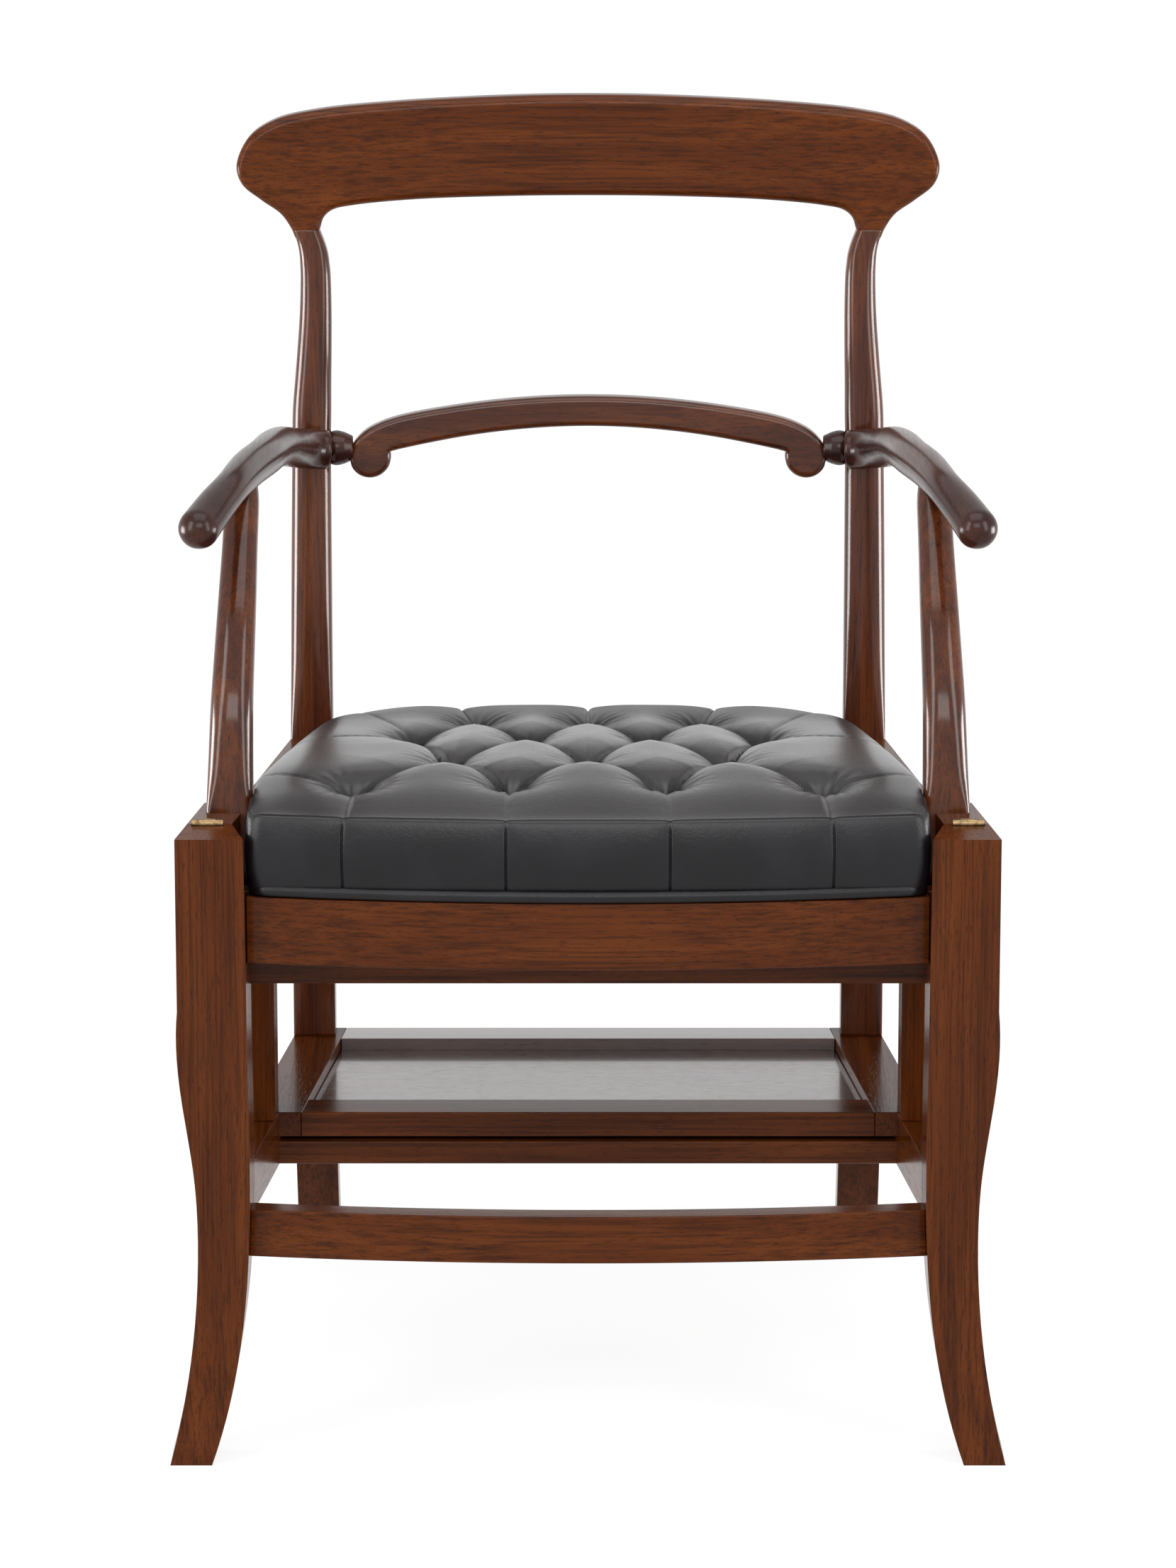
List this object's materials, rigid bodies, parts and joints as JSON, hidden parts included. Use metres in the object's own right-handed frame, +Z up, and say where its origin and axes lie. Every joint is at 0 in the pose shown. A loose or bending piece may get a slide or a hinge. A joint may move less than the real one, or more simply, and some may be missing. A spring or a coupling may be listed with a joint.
{
  "type": "library step chair",
  "caption": "Open wooden armchair with a buttoned leather seat whose seat and back hinge forwards over the front legs to make a flight of library steps.",
  "frame": {"origin": "on the floor, in the middle of the bounding box of the chair as it stands closed", "axes": "+Z up, +Y towards the back of the chair, +X towards the right of someone who looks at its front"},
  "size_m": [0.5892, 0.542, 0.91],
  "materials": {
    "rosewood": "polished",
    "leather": "satin",
    "brass": "aged"
  },
  "bodies": {
    "base": {"front_leg_l": "rosewood", "front_leg_r": "rosewood", "side_stretcher_l": "rosewood", "side_stretcher_r": "rosewood", "back_leg_l": "rosewood", "back_leg_r": "rosewood", "step_post_l": "rosewood", "step_post_r": "rosewood", "hinge_leaf_base_l": "brass", "hinge_leaf_base_r": "brass", "hinge_pin_l": "brass", "hinge_pin_r": "brass", "front_stretcher": "rosewood", "back_stretcher": "rosewood", "step_1": "rosewood", "step_2": "rosewood"},
    "seat_and_back": {"seat_side_rail_l": "rosewood", "seat_side_rail_r": "rosewood", "tread_post_l": "rosewood", "tread_post_r": "rosewood", "tread_side_l": "rosewood", "tread_side_r": "rosewood", "back_stile_l": "rosewood", "back_stile_r": "rosewood", "back_peg_l": "rosewood", "back_peg_r": "rosewood", "arm_l": "rosewood", "arm_r": "rosewood", "arm_post_l": "rosewood", "arm_post_r": "rosewood", "hinge_leaf_seat_l": "brass", "hinge_leaf_seat_r": "brass", "seat_front_rail": "rosewood", "seat_back_rail": "rosewood", "step_3": "rosewood", "tread_front": "rosewood", "tread_panel": "rosewood", "tread_back": "rosewood", "crest_rail": "rosewood", "back_rail": "rosewood", "seat_cushion": "leather", "cushion_piping": "leather"}
  },
  "joints": [
    {"name": "seat_flip", "type": "hinge", "parent": "base", "child": "seat_and_back", "pos_m": [0, -0.229, 0.4555], "axis": [1, 0, 0], "range_deg": [0, 180]}
  ]
}
